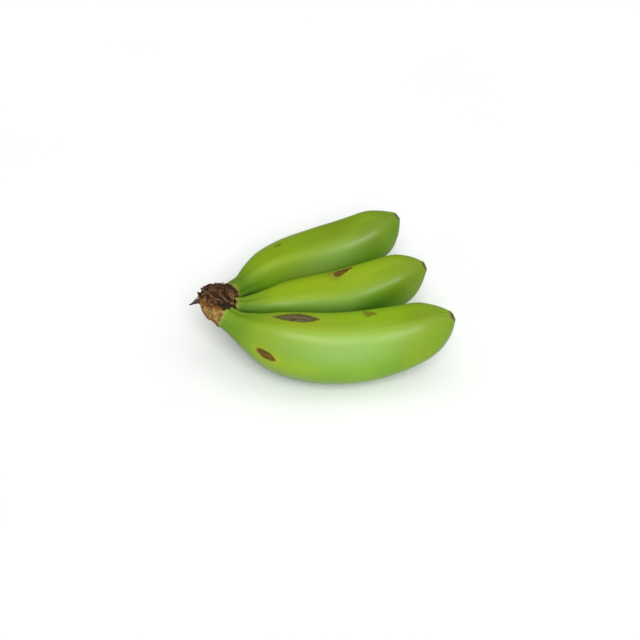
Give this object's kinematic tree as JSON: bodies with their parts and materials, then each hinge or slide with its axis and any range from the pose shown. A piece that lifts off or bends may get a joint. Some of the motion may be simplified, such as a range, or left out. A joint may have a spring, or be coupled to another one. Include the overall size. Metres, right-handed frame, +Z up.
{
  "type": "bunch of bananas",
  "caption": "Small bunch of stout green cooking bananas fanned out from a dried crown, lying on their bellies with blunt tips curving up.",
  "frame": {"origin": "middle of the bunch's bounding box, on the surface that it lies on", "axes": "+X from the crown to the banana tips, +Z up from the surface, +Y across the row of bananas to the back one"},
  "size_m": [0.1588, 0.1324, 0.0504],
  "materials": {
    "peel": "waxy satin green banana peel",
    "dried_crown": "dry, wrinkled dark brown stalk tissue with a tan cut",
    "dried_strand": "dry dark fibre"
  },
  "bodies": {
    "root": {"banana_front": "peel", "banana_middle": "peel", "banana_back": "peel", "crown": "dried_crown", "dried_strand_long": "dried_strand", "dried_strand_short": "dried_strand"}
  },
  "joints": []
}
